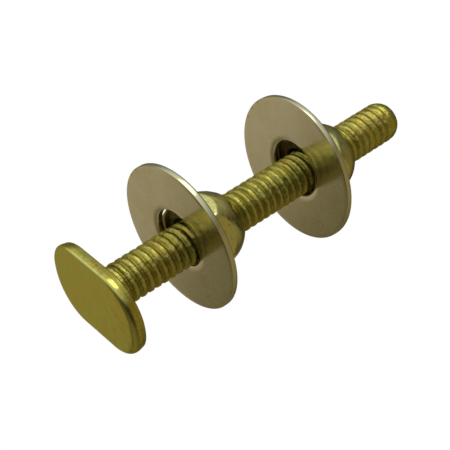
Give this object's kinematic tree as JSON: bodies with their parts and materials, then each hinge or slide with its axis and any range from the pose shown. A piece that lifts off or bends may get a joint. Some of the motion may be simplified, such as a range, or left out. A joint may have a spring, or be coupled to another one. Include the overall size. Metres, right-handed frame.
{
  "type": "closet bolt",
  "caption": "T-head closet bolt with a threaded shank, loose round washers and open-ended acorn nuts, for clamping a toilet to its floor flange.",
  "frame": {"origin": "centre of the head's outer face, where the bolt stands", "axes": "+Z along the shank from the head to the tip, X along the head's long side, Y across the head"},
  "size_m": [0.0233, 0.0231, 0.0571],
  "materials": {
    "bolt_brass": "bright",
    "nut_brass": "bright",
    "washer_metal": "mirror polished with fine wear"
  },
  "bodies": {
    "bolt": {"t_bolt": "bolt_brass"},
    "lower_washer_body": {"lower_washer": "washer_metal"},
    "lower_nut_body": {"lower_nut": "nut_brass"},
    "upper_washer_body": {"upper_washer": "washer_metal"},
    "upper_nut_body": {"upper_nut": "nut_brass"}
  },
  "joints": [
    {"name": "lower_washer_slide", "type": "slide", "parent": "bolt", "child": "lower_washer_body", "axis": [0, 0, 1], "range_m": [-0.0127, 0.00635]},
    {"name": "lower_nut_turn", "type": "hinge", "parent": "lower_washer_body", "child": "lower_nut_body", "pos_m": [0, 0, 0.02], "axis": [0, 0, 1], "range_deg": [-3601, 1801]},
    {"name": "upper_washer_slide", "type": "slide", "parent": "bolt", "child": "upper_washer_body", "axis": [0, 0, 1], "range_m": [-0.00635, 0.00889]},
    {"name": "upper_nut_turn", "type": "hinge", "parent": "upper_washer_body", "child": "upper_nut_body", "pos_m": [0, 0, 0.042], "axis": [0, 0, 1], "range_deg": [-1801, 2521]}
  ],
  "couplings": [
    {"joint": "lower_nut_turn", "follows": "lower_washer_slide", "rad_per_m": 4947.4},
    {"joint": "upper_nut_turn", "follows": "upper_washer_slide", "rad_per_m": 4947.4}
  ]
}
